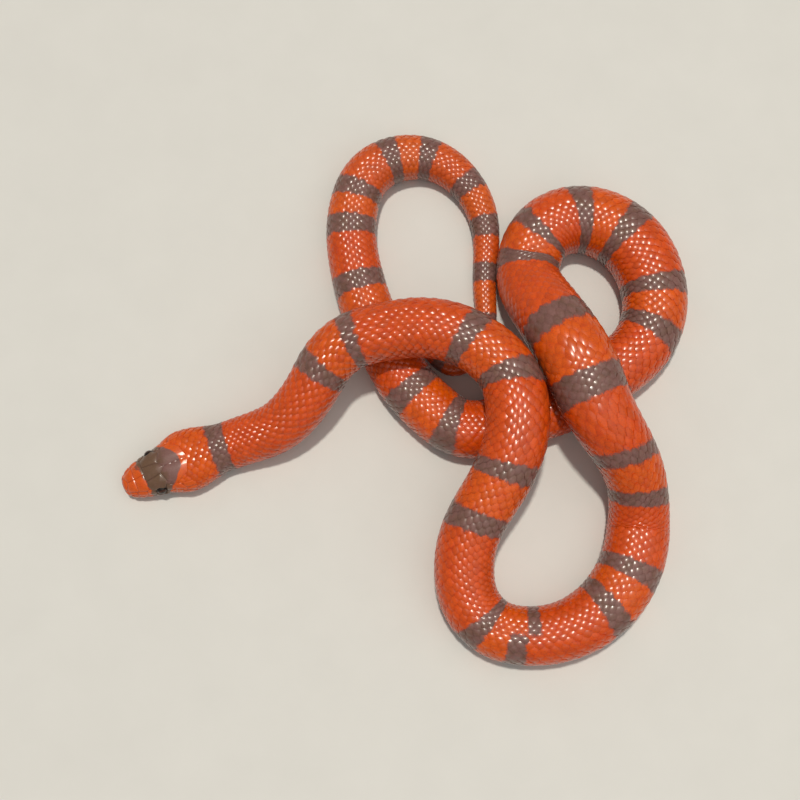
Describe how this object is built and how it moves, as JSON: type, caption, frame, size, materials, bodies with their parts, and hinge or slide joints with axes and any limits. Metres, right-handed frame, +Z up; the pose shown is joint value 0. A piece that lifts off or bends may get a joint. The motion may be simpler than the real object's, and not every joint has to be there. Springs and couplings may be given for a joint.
{
  "type": "milk snake",
  "caption": "Life-size museum-style model of a young milk snake with orange skin and grey-brown rings, lying in loose coils with the forebody over the rear.",
  "frame": {"origin": "middle of the whole coiled snake's bounding box, at the level of the floor that the belly lies on", "axes": "+X to the right across the coils with the head at -X, +Y towards the back where the tail loop lies, +Z up"},
  "size_m": [0.1477, 0.1414, 0.0289],
  "materials": {
    "skin": "smooth glossy overlapping scales, vivid orange-red with narrow mauve-grey-brown rings in pairs, paler belly plates",
    "head_skin": "smooth glossy head shields, orange snout and neck with a dark grey-brown cap",
    "jaw_skin": "smooth pale orange lip and chin shields",
    "eye": "wet clear cover over a dark reddish-brown eye with a round black pupil"
  },
  "bodies": {
    "root": {"head": "head_skin", "lower_jaw": "jaw_skin", "eye_left": "eye", "eye_right": "eye", "neck": "skin", "trunk_01": "skin", "trunk_02": "skin", "trunk_03": "skin", "trunk_04": "skin", "trunk_05": "skin", "trunk_06": "skin", "trunk_07": "skin", "trunk_08": "skin", "trunk_09": "skin", "trunk_10": "skin", "trunk_11": "skin", "trunk_12": "skin", "trunk_13": "skin", "tail_base": "skin", "tail_middle": "skin", "tail_tip": "skin"}
  },
  "joints": []
}
